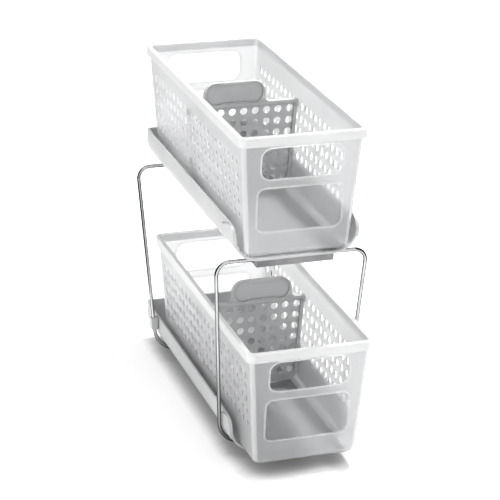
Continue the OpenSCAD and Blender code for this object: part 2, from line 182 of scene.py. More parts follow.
class SharedEffects:
    """The node groups that several finishes use."""

    def __init__(self) -> None:
        """Builds each group once."""
        self.grain = self._grain()
        self.edges = self._edges()
        self.painted_hollow_shade = self._painted_hollow_shade()
        self.handling = self._handling()
        self.dust = self._dust()

    @staticmethod
    def _group(name: str, inputs: dict[str, float], outputs: Iterable[str]) -> tuple[
            bpy.types.NodeTree, NodeBench, bpy.types.Node, bpy.types.Node]:
        """Starts a node group.

        Args:
            name: The group's name.
            inputs: Names and default values of its number inputs.
            outputs: Names of its number outputs.

        Returns:
            The group, a bench on it, its input node and its output node.
        """
        group = bpy.data.node_groups.new(name, "ShaderNodeTree")
        for label, value in inputs.items():
            socket = group.interface.new_socket(label, in_out="INPUT",
                                                socket_type="NodeSocketFloat")
            socket.default_value = value
        for label in outputs:
            group.interface.new_socket(label, in_out="OUTPUT", socket_type="NodeSocketFloat")
        enter = group.nodes.new("NodeGroupInput")
        leave = group.nodes.new("NodeGroupOutput")
        return group, NodeBench(group), enter, leave

    def _grain(self) -> bpy.types.NodeTree:
        """Builds the fine matt texture of a spark-eroded mould.

        Returns:
            A group that puts out a height and a slow change of tone.
        """
        group, bench, enter, leave = self._group(
            "moulding_grain", {"Scale": 1800.0, "Cloud Scale": 14.0}, ("Height", "Tone"))
        place = bench.add("TexCoord").outputs["Object"]
        pits = bench.add("TexNoise", Vector=place, Scale=enter.outputs["Scale"], Detail=2.0,
                         Roughness=0.6)
        cloud = bench.add("TexNoise", Vector=place, Scale=enter.outputs["Cloud Scale"], Detail=3.0,
                          Roughness=0.55, Distortion=0.4)
        group.links.new(pits.outputs[0], leave.inputs["Height"])
        group.links.new(bench.span(cloud.outputs[0], 0.35, 0.65, 0.0, 1.0), leave.inputs["Tone"])
        return group

    def _edges(self) -> bpy.types.NodeTree:
        """Builds a paler line along raised edges, partly rub wear and partly a painted highlight.

        Returns:
            A group that puts out the edges' mask.
        """
        group, bench, enter, leave = self._group("rubbed_and_highlit_edges", {"Amount": 0.5}, ("Mask",))
        # Painted highlight and rub wear: pointed edges are lightened.
        bend = bench.add("NewGeometry").outputs["Pointiness"]
        patch = bench.add("TexNoise", Vector=bench.add("TexCoord").outputs["Object"], Scale=70.0,
                          Detail=3.0)
        line = bench.math("MULTIPLY", bench.span(bend, 0.52, 0.6, 0.0, 1.0),
                          bench.span(patch.outputs[0], 0.3, 0.6, 0.5, 1.0))
        group.links.new(bench.math("MULTIPLY", line, enter.outputs["Amount"]),
                        leave.inputs["Mask"])
        return group

    def _painted_hollow_shade(self) -> bpy.types.NodeTree:
        """Builds painted shade that darkens corners, steps and holes, from ambient occlusion.

        Returns:
            A group that puts out the painted shade's mask.
        """
        group, bench, enter, leave = self._group(
            "hollow_shade", {"Reach": 0.005, "Amount": 0.6}, ("Mask",))
        # Painted shade: the less open a point is, the darker it gets.
        near = bench.add("AmbientOcclusion", {"samples": SHADE_SAMPLES, "only_local": True},
                         Distance=enter.outputs["Reach"])
        deep = bench.span(near.outputs["AO"], 0.5, 0.94, 1.0, 0.0)
        group.links.new(bench.math("MULTIPLY", deep, enter.outputs["Amount"]),
                        leave.inputs["Mask"])
        return group

    def _handling(self) -> bpy.types.NodeTree:
        """Builds light scuffs from goods and hands.

        Returns:
            A group that puts out a mask of faint rubbed streaks.
        """
        group, bench, enter, leave = self._group(
            "handling_scuffs", {"Scale": 60.0, "Amount": 0.5}, ("Mask",))
        place = bench.add("TexCoord").outputs["Object"]
        stretched = bench.add("Mapping", Vector=place)
        stretched.inputs["Scale"].default_value = (1.0, 0.12, 1.0)
        streak = bench.add("TexNoise", Vector=stretched.outputs[0], Scale=enter.outputs["Scale"],
                           Detail=5.0, Roughness=0.65)
        patch = bench.add("TexNoise", Vector=place, Scale=9.0, Detail=1.0)
        line = bench.span(streak.outputs[0], 0.58, 0.72, 0.0, 1.0)
        where = bench.span(patch.outputs[0], 0.48, 0.62, 0.0, 1.0)
        both = bench.math("MULTIPLY", line, where)
        group.links.new(bench.math("MULTIPLY", both, enter.outputs["Amount"]),
                        leave.inputs["Mask"])
        return group

    def _dust(self) -> bpy.types.NodeTree:
        """Builds the film of dust on faces that look up.

        Returns:
            A group that puts out the dust's mask.
        """
        group, bench, enter, leave = self._group("settled_dust", {"Amount": 0.3}, ("Mask",))
        normal = bench.add("NewGeometry").outputs["Normal"]
        up = bench.add("SeparateXYZ", Vector=normal).outputs["Z"]
        specks = bench.add("TexNoise", Vector=bench.add("TexCoord").outputs["Object"], Scale=240.0,
                           Detail=4.0, Roughness=0.7)
        film = bench.math("MULTIPLY", bench.span(up, 0.55, 0.95, 0.0, 1.0),
                          bench.span(specks.outputs[0], 0.42, 0.62, 0.25, 1.0))
        group.links.new(bench.math("MULTIPLY", film, enter.outputs["Amount"]),
                        leave.inputs["Mask"])
        return group


# ---------------------------------------------------------------- finishes


@dataclass(frozen=True)
class Plastic:
    """An opaque satin moulding."""

    name: str
    colour: Colour
    roughness: float = 0.42
    tone_spread: float = 0.06
    paling: float = 0.22
    painted_shade_tone: float = 0.35
    tone_roughness: float = 0.08
    scuff_polish: float = 0.1
    dust_roughness: float = 0.25
    grain: float = 1500.0
    bump: float = 0.12
    scuffs: float = 0.5
    dust: float = 0.25
    edge_sheen_and_wear: float = 0.8
    hollow_shade: float = 0.7
    specular: float = 0.45

    def material(self, shared: SharedEffects) -> bpy.types.Material:
        """Builds the material.

        Args:
            shared: The common node groups.

        Returns:
            The new material.
        """
        made, bench, shader = new_material(self.name)
        grain = place_group(bench, shared.grain, Scale=self.grain)
        scuff = place_group(bench, shared.handling, Amount=self.scuffs)
        dust = place_group(bench, shared.dust, Amount=self.dust)
        body = mix_colour(bench, grain.outputs["Tone"], tinted(self.colour, 1 - self.tone_spread),
                          tinted(self.colour, 1 + self.tone_spread))
        pale = tuple(c + (1 - c) * self.paling for c in self.colour) + (1.0,)
        rubbed = mix_colour(bench, scuff.outputs["Mask"], body, pale)
        # Edges turn paler: rub wear and a painted highlight.
        edge = place_group(bench, shared.edges, Amount=self.edge_sheen_and_wear)
        # Painted shade: corners, steps and holes darken towards the shade tone.
        painted_shade_node = place_group(bench, shared.painted_hollow_shade, Amount=self.hollow_shade)
        shaded = mix_colour(bench, painted_shade_node.outputs["Mask"], rubbed,
                            tinted(self.colour, self.painted_shade_tone))
        worn_and_highlit = mix_colour(bench, edge.outputs["Mask"], shaded, pale)
        dusty = mix_colour(bench, dust.outputs["Mask"], worn_and_highlit, DUST_COLOUR)
        bench.tree.links.new(dusty, shader.inputs["Base Color"])
        rough = bench.math("ADD", self.roughness,
                           bench.math("MULTIPLY", grain.outputs["Tone"], self.tone_roughness))
        rough = bench.math("SUBTRACT", rough,
                           bench.math("MULTIPLY", scuff.outputs["Mask"], self.scuff_polish))
        rough = bench.math("ADD", rough,
                           bench.math("MULTIPLY", dust.outputs["Mask"], self.dust_roughness))
        bench.tree.links.new(rough, shader.inputs["Roughness"])
        roughen(bench, shader, grain, self.bump)
        shader.inputs["Specular IOR Level"].default_value = self.specular
        return made


@dataclass(frozen=True)
class FrostedPlastic:
    """A translucent moulding that lets blurred shapes through."""

    name: str
    colour: Colour
    transmission: float
    roughness: float
    shadow_pass: float
    ior: float = 1.3
    grain: float = 1300.0
    bump: float = 0.1
    specular: float = 0.5
    cloudy_tone: float = 0.97
    scuffs: float = 0.4
    scuff_roughness: float = 0.15
    tone_roughness: float = 0.05

    def material(self, shared: SharedEffects) -> bpy.types.Material:
        """Builds the material.

        Args:
            shared: The common node groups.

        Returns:
            The new material.
        """
        made, bench, shader = new_material(self.name)
        if self.shadow_pass:
            shade = bench.add("LightPath").outputs["Is Shadow Ray"]
            passed = bench.math("MULTIPLY", shade, self.shadow_pass)
            bench.tree.links.new(bench.math("SUBTRACT", 1.0, passed), shader.inputs["Alpha"])
        grain = place_group(bench, shared.grain, Scale=self.grain)
        scuff = place_group(bench, shared.handling, Amount=self.scuffs)
        body = mix_colour(bench, grain.outputs["Tone"], tinted(self.colour, self.cloudy_tone),
                          tinted(self.colour, 1.0))
        milky = mix_colour(bench, scuff.outputs["Mask"], body, WHITE)
        bench.tree.links.new(milky, shader.inputs["Base Color"])
        rough = bench.math("ADD", self.roughness,
                           bench.math("MULTIPLY", scuff.outputs["Mask"], self.scuff_roughness))
        rough = bench.math("ADD", rough,
                           bench.math("MULTIPLY", grain.outputs["Tone"], self.tone_roughness))
        bench.tree.links.new(rough, shader.inputs["Roughness"])
        roughen(bench, shader, grain, self.bump)
        shader.inputs["Transmission Weight"].default_value = self.transmission
        shader.inputs["IOR"].default_value = self.ior
        shader.inputs["Specular IOR Level"].default_value = self.specular
        return made


@dataclass(frozen=True)
class ChromePlate:
    """Bright plated wire with the fine lines of the drawing die, and a painted dark reflection
    along the edges that turn away from the view.
    """

    name: str
    colour: Colour = (0.64, 0.65, 0.66)
    dull_tone: float = 0.9
    roughness: float = 0.07
    scuff_roughness: float = 0.18
    bump: float = 0.05
    dark_reflection_start: float = 0.12
    dark_reflection_end: float = 0.4

    def material(self, shared: SharedEffects) -> bpy.types.Material:
        """Builds the material.

        Args:
            shared: The common node groups.

        Returns:
            The new material.
        """
        made, bench, shader = new_material(self.name)
        grain = place_group(bench, shared.grain, Scale=900.0, Cloud_Scale=60.0)
        scuff = place_group(bench, shared.handling, Scale=260.0, Amount=0.6)
        body = mix_colour(bench, grain.outputs["Tone"], tinted(self.colour, self.dull_tone),
                          tinted(self.colour, 1.0))
        # Painted dark reflection: the colour goes near black where the wire turns away from the
        # view.
        facing = bench.add("LayerWeight", Blend=0.5).outputs["Facing"]
        dark_reflection = bench.span(facing, self.dark_reflection_start, self.dark_reflection_end, 0.0, 1.0)
        bench.tree.links.new(mix_colour(bench, dark_reflection, body, CHROME_PAINTED_DARK_EDGE),
                             shader.inputs["Base Color"])
        rough = bench.math("ADD", self.roughness,
                           bench.math("MULTIPLY", scuff.outputs["Mask"], self.scuff_roughness))
        bench.tree.links.new(rough, shader.inputs["Roughness"])
        roughen(bench, shader, grain, self.bump)
        shader.inputs["Metallic"].default_value = 1.0
        return made


def tinted(colour: Colour, share: float) -> tuple[float, float, float, float]:
    """Returns a colour that is darker or lighter by a share, at most 1, with full alpha."""
    return tuple(min(c * share, 1) for c in colour) + (1.0,)


def grey(level: float) -> tuple[float, float, float, float]:
    """Returns a neutral grey with full alpha."""
    return (level, level, level, 1.0)


def new_material(name: str) -> tuple[bpy.types.Material, NodeBench, bpy.types.Node]:
    """Starts a material.

    Args:
        name: The material's name.

    Returns:
        The material, a bench on its tree and its Principled BSDF.
    """
    made = bpy.data.materials.new(name)
    made.use_nodes = True
    shader = made.node_tree.nodes["Principled BSDF"]
    return made, NodeBench(made.node_tree), shader


def roughen(bench: NodeBench, shader: bpy.types.Node, grain: bpy.types.Node,
            strength: float) -> None:
    """Lets the moulding's grain stand out of the surface.

    Args:
        bench: The bench of the material's tree.
        shader: The material's Principled BSDF.
        grain: The placed grain group.
        strength: The bump's strength.
    """
    bump = bench.add("Bump", Height=grain.outputs["Height"], Strength=strength,
                     Distance=BUMP_DEPTH)
    bench.tree.links.new(bump.outputs[0], shader.inputs["Normal"])


def place_group(bench: NodeBench, group: bpy.types.NodeTree, **values: float) -> bpy.types.Node:
    """Places a shared group in a material.

    Args:
        bench: The bench of the material's tree.
        group: The group.
        **values: Its inputs, with underscores for spaces.

    Returns:
        The group's node.
    """
    node = bench.tree.nodes.new("ShaderNodeGroup")
    node.node_tree = group
    for name, value in values.items():
        node.inputs[name.replace("_", " ")].default_value = value
    return node


def mix_colour(bench: NodeBench, factor: bpy.types.NodeSocket, first: object,
               second: object) -> bpy.types.NodeSocket:
    """Mixes two colours.

    Args:
        bench: The bench to add the node to.
        factor: How much of the second colour shows.
        first: A colour or a socket.
        second: A colour or a socket.

    Returns:
        The mixed colour's socket.
    """
    node = bench.tree.nodes.new("ShaderNodeMix")
    node.data_type = "RGBA"
    bench.tree.links.new(factor, node.inputs[MIX_FACTOR])
    for index, value in ((MIX_FIRST, first), (MIX_SECOND, second)):
        socket = node.inputs[index]
        if isinstance(value, bpy.types.NodeSocket):
            bench.tree.links.new(value, socket)
        else:
            socket.default_value = value
    return node.outputs[MIX_RESULT]


# ---------------------------------------------------------------- shapes


def quarter_turn(steps: int) -> list[float]:
    """Returns the angles that divide a right angle into equal steps."""
    return [math.pi / 2 * i / steps for i in range(steps + 1)]


def circle_outline(radius: float, steps: int = 24) -> Outline:
    """Makes a circle that can be offset.

    Args:
        radius: The radius in millimetres.
        steps: How many points it has.

    Returns:
        A function from an outward offset to the points.
    """
    def points(offset: float) -> list[tuple[float, float]]:
        """Returns the points at an offset."""
        turns = [2 * math.pi * (i + 0.5) / steps for i in range(steps)]
        return [((radius + offset) * math.cos(t), (radius + offset) * math.sin(t)) for t in turns]
    return points


def window_outline(width: float, height: float, radius: float, steps: int = 8) -> Outline:
    """Makes a rectangle with round corners that can be offset, centred on its middle.

    Args:
        width: The width in millimetres.
        height: The height in millimetres.
        radius: The corners' radius.
        steps: Segments in each corner.

    Returns:
        A function from an outward offset to the points.
    """
    def points(offset: float) -> list[tuple[float, float]]:
        """Places the points.

        Args:
            offset: How far they lie outside the rectangle.

        Returns:
            The points, anticlockwise.
        """
        r = radius + offset
        half_w, half_h = width / 2 - radius, height / 2 - radius
        found = []
        for turn, (sx, sy) in enumerate(((1, 1), (-1, 1), (-1, -1), (1, -1))):
            for i in range(steps + 1):
                a = math.pi / 2 * (turn + i / steps)
                found.append((sx * half_w + r * math.cos(a), sy * half_h + r * math.sin(a)))
        return found
    return points


class MeshMaker:
    """Collects closed lofted solids in one mesh."""

    def __init__(self) -> None:
        """Starts with an empty mesh."""
        self.bm = bmesh.new()

    def loft(self, rings: Sequence[Sequence[Vector]], closed: bool = False, slot: int = 0) -> None:
        """Joins rings of points with quads, and closes both ends.

        Args:
            rings: Rings of the same number of points, in millimetres.
            closed: Whether the last ring joins the first, as on a hoop.
            slot: Material slot of the faces.
        """
        rows = [[self.bm.verts.new(p * MM) for p in ring] for ring in rings]
        count = len(rows[0])
        pairs = list(zip(rows, rows[1:])) + ([(rows[-1], rows[0])] if closed else [])
        faces = [self.bm.faces.new((a[i], a[(i + 1) % count], b[(i + 1) % count], b[i]))
                 for a, b in pairs for i in range(count)]
        if not closed:
            faces += [self.bm.faces.new(rows[0][::-1]), self.bm.faces.new(rows[-1])]
        for face in faces:
            face.material_index = slot

    def finish(self, name: str,
               materials: Sequence[bpy.types.Material] = ()) -> bpy.types.Object:
        """Turns the collected solids into an object.

        Args:
            name: The object's name.
            materials: Materials of its slots.

        Returns:
            The new object, linked to the scene.
        """
        bmesh.ops.recalc_face_normals(self.bm, faces=self.bm.faces)
        mesh = bpy.data.meshes.new(name)
        self.bm.to_mesh(mesh)
        self.bm.free()
        for material in materials:
            mesh.materials.append(material)
        made = bpy.data.objects.new(name, mesh)
        bpy.context.scene.collection.objects.link(made)
        return made


def combine(target: bpy.types.Object, tool: bpy.types.Object, operation: str) -> None:
    """Adds one solid to another or cuts it out, and removes the tool.

    Args:
        target: The object that changes.
        tool: The object that is added or cut out.
        operation: UNION or DIFFERENCE.
    """
    step = target.modifiers.new("combine", "BOOLEAN")
    step.operation = operation
    step.object = tool
    step.solver = "EXACT"
    settle(target)
    bpy.data.objects.remove(tool)


def settle(target: bpy.types.Object) -> None:
    """Puts the result of an object's modifiers into its mesh.

    Args:
        target: The object.
    """
    graph = bpy.context.evaluated_depsgraph_get()
    mesh = bpy.data.meshes.new_from_object(target.evaluated_get(graph))
    target.modifiers.clear()
    old = target.data
    target.data = mesh
    bpy.data.meshes.remove(old)
    mesh.name = target.name


def soften(target: bpy.types.Object) -> None:
    """Shades an object smoothly but for its sharp edges, with flat faces kept flat.

    Args:
        target: The object.
    """
    for face in target.data.polygons:
        face.use_smooth = True
    target.data.set_sharp_from_angle(angle=math.radians(SMOOTH_ANGLE))
    step = target.modifiers.new("even_light", "WEIGHTED_NORMAL")
    step.keep_sharp = True
    step.weight = SMOOTH_WEIGHT


# ---------------------------------------------------------------- baskets


@dataclass
class Basket:
    """A perforated translucent basket. Sizes in millimetres, as in the part's source."""

    body: Body
    front: float
    floor: float
    width: float = 150.0
    length: float = 382.0
    height: float = 147.0
    wall: float = 2.0
    draft: float = 10.5
    corner: float = 6.0
    foot: float = 11.0
    foot_widening: float = 0.35
    rim_out: float = 3.4
    rim_drop: float = 11.5
    skirt: float = 1.6
    rim_top: float = 2.0
    lip_round: float = 0.8
    rim_round: float = 1.3
    rim_edge: float = 0.4
    rim_facet: float = 0.12
    rim_root: tuple[float, float] = (0.2, 1.0)
    rail: tuple[float, float, float] = (42.0, 3.0, 1.2)
    rail_edge: float = 0.5
    rail_root: float = 1.0
    hole: float = 9.5
    pitch: float = 15.3
    rows: int = 5
    columns: int = 22
    hole_top: float = 36.0
    grip: tuple[float, float, float] = (94.0, 37.0, 12.0)
    grip_gap: float = 3.6
    pane: tuple[float, float, float] = (99.0, 52.0, 8.0)
    pane_gap: float = 10.5
    pane_skim: float = 0.06
    pane_reach: tuple[float, float] = (-1.6, 2.6)
    pocket: float = 0.7
    bead: tuple[float, float] = (2.0, 0.9)
    bead_root: float = 0.5
    bead_lap: float = 0.25
    corner_steps: int = 8
    foot_steps: int = 8
    level: float = 0.95
    corner_reach: float = 0.9
    rim_reach: float = 0.5
    pieces: list[bpy.types.Object] = field(default_factory=list)

    def lean(self, z: float) -> float:
        """Returns how far the walls lean in at the height z."""
        return self.draft * (1 - z / self.height)

    def plan(self, inset: float, z: float, radius: float) -> list[Vector]:
        """Makes a ring of the basket's plan.

        Args:
            inset: Distance inside the rim's outer edge.
            z: Height above the floor's underside.
            radius: The corners' radius.

        Returns:
            The ring's points in the frame, in millimetres.
        """
        outline = window_outline(self.width - 2 * inset, self.length - 2 * inset, radius,
                                 self.corner_steps)
        middle = self.front + self.length / 2
        return [Vector((x, middle + y, self.floor + z)) for x, y in outline(0)]

    def foot_rings(self, inset: float) -> list[tuple[float, float, float]]:
        """Makes the rounded edge between the floor and a wall face.

        Args:
            inset: 0 for the outer face or the wall's thickness for the inner one.

        Returns:
            Inset, height and corner radius of each ring, from the floor up.
        """
        edge = self.foot - inset
        rings = []
        for a in quarter_turn(self.foot_steps):
            z = inset + edge * (1 - math.cos(a))
            turn_in = edge * (1 - math.sin(a))
            rings.append((self.rim_out + self.lean(z) + inset + turn_in, z,
                          self.corner - inset + turn_in * self.foot_widening))
        return rings

    def section(self) -> list[tuple[float, float, float]]:
        """Makes the shell's path from the inner floor over the rim to the outer floor.

        Returns:
            Inset, height and corner radius of each ring.
        """
        top, wide = self.height, self.corner + self.rim_out
        inner = self.rim_out + self.wall
        path = self.foot_rings(self.wall)
        lip, nose = self.lip_round, self.rim_round
        for a in quarter_turn(4):
            path.append((inner - lip * (1 - math.cos(a)), top - lip + lip * math.sin(a),
                         wide - inner + lip * (1 - math.cos(a))))
        for a in quarter_turn(5):
            path.append((nose * (1 - math.sin(a)), top - nose * (1 - math.cos(a)),
                         wide - nose * (1 - math.sin(a))))
        low, under = top - self.rim_drop, top - self.rim_top
        edge, facet, skirt = self.rim_edge, self.rim_facet, self.skirt
        gap, drop = self.rim_root
        for inset, z in ((0, low + edge), (facet, low + facet), (edge, low), (skirt - edge, low),
                         (skirt - facet, low + facet), (skirt, low + edge), (skirt, under - edge),
                         (skirt + edge, under), (self.rim_out - gap, under)):
            path.append((inset, z, wide - inset))
        path.append((self.rim_out + self.lean(under - drop), under - drop, self.corner))
        return path + self.foot_rings(0)[::-1]

    def wall_frame(self, face: Face, along: float, z: float) -> Matrix:
        """Places a shape on the middle plane of a wall.

        Args:
            face: Which wall.
            along: Distance along the wall from its middle.
            z: Height above the floor's underside.

        Returns:
            A matrix whose first axis runs along the wall, the second up it and the third out.
        """
        slope = math.atan(self.draft / self.height)
        out = Vector((*face.value, 0)) * math.cos(slope) - Vector((0, 0, math.sin(slope)))
        up = Vector((*face.value, 0)) * math.sin(slope) + Vector((0, 0, math.cos(slope)))
        side = up.cross(out)
        reach = self.rim_out + self.lean(z) + self.wall / 2 / math.cos(slope)
        half = self.width / 2 if face in (Face.LEFT, Face.RIGHT) else self.length / 2
        flat = Vector((*face.value, 0)) * (half - reach)
        across = Vector((0, 1, 0)) if face in (Face.LEFT, Face.RIGHT) else Vector((1, 0, 0))
        middle = Vector((0, self.front + self.length / 2, self.floor + z))
        place = Matrix((side, up, out)).transposed().to_4x4()
        place.translation = middle + flat + across * along
        return place

    @staticmethod
    def rings_on(place: Matrix, outline: Outline,
                 stations: Iterable[tuple[float, float]]) -> list[list[Vector]]:
        """Makes the rings of a solid that stands on a wall.

        Args:
            place: The matrix from wall_frame.
            outline: The shape that is offset.
            stations: Depth along the outward axis and offset of each ring.

        Returns:
            The rings' points.
        """
        return [[place @ Vector((x, y, depth)) for x, y in outline(offset)]
                for depth, offset in stations]

    def openings(self, finishes: Sequence[bpy.types.Material]) -> bpy.types.Object:
        """Builds the cutter of the holes, the handle openings and the windows' pockets.

        Args:
            finishes: The basket's finishes.

        Returns:
            The cutter.
        """
        maker, half = MeshMaker(), self.wall / 2
        disc = circle_outline(self.hole / 2)
        for face in (Face.LEFT, Face.RIGHT):
            for column in range(self.columns):
                along = (column - (self.columns - 1) / 2) * self.pitch
                for row in range(self.rows):
                    z = self.height - self.hole_top - row * self.pitch
                    maker.loft(self.rings_on(self.wall_frame(face, along, z), disc, HOLE_CUT))
        grip, pane = window_outline(*self.grip), window_outline(*self.pane)
        inside, outside = self.pane_reach
        for face in (Face.FRONT, Face.REAR):
            maker.loft(self.rings_on(self.wall_frame(face, 0, self.grip_z()), grip, GRIP_CUT))
            window = self.wall_frame(face, 0, self.pane_z())
            for depths in ((half - self.pocket, outside), (inside, self.pane_skim - half)):
                maker.loft(self.rings_on(window, pane, [(depth, 0.0) for depth in depths]),
                           slot=Zone.WINDOW)
        return maker.finish("openings", finishes)

    def grip_z(self) -> float:
        """Returns the height of the middle of the handle openings."""
        return self.height - self.rim_drop - self.grip_gap - self.grip[1] / 2

    def pane_z(self) -> float:
        """Returns the height of the middle of the windows."""
        return self.grip_z() - self.grip[1] / 2 - self.pane_gap - self.pane[1] / 2

    def trims(self, finishes: Sequence[bpy.types.Material]) -> bpy.types.Object:
        """Builds the beads round the openings and the glide rails under the floor.

        Args:
            finishes: The basket's finishes.

        Returns:
            The beads and rails as one mesh.
        """
        maker, half = MeshMaker(), self.wall / 2
        band, rise = self.bead
        root, lap = half - self.bead_root, self.bead_lap
        # From the opening's edge over the crown to the outer foot, and back inside the wall.
        profile = ((root, -lap), (half + rise * 0.6, -lap), (half + rise * 0.92, 0.2),
                   (half + rise, band * 0.45), (half + rise * 0.92, band - 0.6),
                   (half + rise * 0.5, band - lap), (half - 0.05, band - 0.1),
                   (root, band - 0.1))
        # The beads take the corners' whiter finish, partly denser plastic and partly a painted
        # highlight.
        for face in (Face.FRONT, Face.REAR):
            for size, z in ((self.grip, self.grip_z()), (self.pane, self.pane_z())):
                maker.loft(self.rings_on(self.wall_frame(face, 0, z), window_outline(*size),
                                         profile), closed=True, slot=Zone.CORNER)
        place, wide, deep = self.rail
        start = self.front + self.rim_out + self.draft + self.foot
        end = self.front + self.length - self.rim_out - self.draft - self.foot
        edge, root = self.rail_edge, self.rail_root
        shape = ((-wide / 2, root), (-wide / 2, edge - deep), (edge - wide / 2, -deep),
                 (wide / 2 - edge, -deep), (wide / 2, edge - deep), (wide / 2, root))
        for side in (-1, 1):
            maker.loft([[Vector((side * place + x, y, self.floor + z)) for x, z in shape]
                        for y in (start, end)])
        return maker.finish("trims", finishes)

    def mark_zones(self, shell: bpy.types.Object) -> None:
        """Marks the rim, the upright corners and the floor for their own finishes.

        Args:
            shell: The shell before its openings are cut.
        """
        middle = self.front + self.length / 2
        for face in shell.data.polygons:
            x, y, z = (c / MM for c in face.center)
            up = z - self.floor
            inset = self.rim_out + self.lean(up) + self.corner * self.corner_reach
            corner = abs(x) > self.width / 2 - inset and abs(y - middle) > self.length / 2 - inset
            if up > self.height - self.rim_drop - self.rim_reach:
                face.material_index = Zone.RIM
            # Upright corners take a whiter finish, partly denser plastic and partly a painted
            # highlight.
            elif corner and up > self.foot / 2:
                face.material_index = Zone.CORNER
            # The floor takes a much darker finish, as painted shade.
            elif abs(face.normal.z) > self.level and up < self.foot / 2:
                face.material_index = Zone.FLOOR

    def build(self, node: str, finishes: Sequence[bpy.types.Material]) -> None:
        """Builds the basket and puts it in the place of its node.

        Args:
            node: The node that it stands for.
            finishes: One finish for each zone.
        """
        maker = MeshMaker()
        maker.loft([self.plan(*ring) for ring in self.section()])
        shell = maker.finish(node + "_shell", finishes)
        self.mark_zones(shell)
        combine(shell, self.trims(finishes), "UNION")
        combine(shell, self.openings(finishes), "DIFFERENCE")
        soften(shell)
        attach(shell, self.body.value)
        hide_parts(node)
        self.pieces.append(shell)


# ---------------------------------------------------------------- carried-over solids


@dataclass
class MouldedSolids:
    """Nodes of the frame that keep their shape and get broken edges and a finish."""

    nodes: tuple[str, ...]
    edge: float
    steps: int = 2

    def dress(self, finish: bpy.types.Material) -> None:
        """Rounds the edges and sets the finish.

        Args:
            finish: The material.
        """
        for name in self.nodes:
            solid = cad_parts[name]
            weld = solid.modifiers.new("weld", "WELD")
            weld.merge_threshold = WELD_REACH
            bevel = solid.modifiers.new("broken_edges", "BEVEL")
            bevel.width = self.edge * MM
            bevel.segments = self.steps
            bevel.limit_method = "ANGLE"
            bevel.angle_limit = math.radians(BEVEL_ANGLE)
            bevel.miter_outer = "MITER_ARC"
            for face in solid.data.polygons:
                face.use_smooth = True
            light = solid.modifiers.new("even_light", "WEIGHTED_NORMAL")
            light.weight = SMOOTH_WEIGHT
            for slot in solid.material_slots:
                slot.link = "OBJECT"
                slot.material = finish
            LOG.info("dressed %s", name)


# ---------------------------------------------------------------- studio


@dataclass(frozen=True)
class PhotoCamera:
    """The photograph's camera, found by fitting points of the object."""

    focal_px: float = 2033.77
    image_px: float = 500.0
    yaw: float = 0.32546
    pitch: float = 0.37921
    roll: float = 0.02276
    place: tuple[float, float, float] = (-724.89, -2136.82, 1094.7)
    sight: tuple[float, float] = (0.05, 30.0)

    def build(self) -> None:
        """Makes the camera and sets it as the scene's."""
        data = bpy.data.cameras.new("photo_camera")
        data.lens = self.focal_px / self.image_px * data.sensor_width
        data.clip_start, data.clip_end = self.sight
        camera = bpy.data.objects.new("photo_camera", data)
        bpy.context.scene.collection.objects.link(camera)
        ahead = Vector((math.sin(self.yaw) * math.cos(self.pitch),
                        math.cos(self.yaw) * math.cos(self.pitch), -math.sin(self.pitch)))
        level = Vector((math.cos(self.yaw), -math.sin(self.yaw), 0))
        above = level.cross(ahead)
        right = level * math.cos(self.roll) + above * math.sin(self.roll)
        up = above * math.cos(self.roll) - level * math.sin(self.roll)
        turn = Matrix((right, up, -ahead)).transposed().to_4x4()
        turn.translation = Vector(self.place) * MM
        camera.matrix_world = turn
        bpy.context.scene.camera = camera


@dataclass(frozen=True)
class Lamp:
    """A soft area lamp that looks at the middle of the object."""

    name: str
    place: tuple[float, float, float]
    size: float
    watts: float
    target: tuple[float, float, float] = (0.0, 0.0, 0.2)

    def build(self) -> None:
        """Makes the lamp."""
        data = bpy.data.lights.new(self.name, "AREA")
        data.energy, data.size = self.watts, self.size
        lamp = bpy.data.objects.new(self.name, data)
        bpy.context.scene.collection.objects.link(lamp)
        lamp.location = self.place
        aim = Vector(self.target) - Vector(self.place)
        lamp.rotation_mode = "QUATERNION"
        lamp.rotation_quaternion = aim.to_track_quat("-Z", "Y")


@dataclass(frozen=True)
class DarkCard:
    """A black card that stands beside the object, and that only polished things mirror."""

    name: str
    place: tuple[float, float, float]
    turn: float
    width: float
    height: float
    thickness: float = 0.006

    def build(self, black: bpy.types.Material) -> None:
        """Makes the card.

        Args:
            black: Its material.
        """
        maker = MeshMaker()
        half, tall, deep = (size / MM / 2 for size in (self.width, self.height, self.thickness))
        corners = ((-half, -tall), (half, -tall), (half, tall), (-half, tall))
        maker.loft([[Vector((x, y, z)) for x, z in corners] for y in (-deep, deep)])
        card = maker.finish(self.name, (black,))
        card.matrix_world = (Matrix.Translation(self.place)
                             @ Matrix.Rotation(math.radians(self.turn), 4, "Z"))
        card.visible_camera = card.visible_diffuse = card.visible_shadow = False
        card.visible_transmission = False


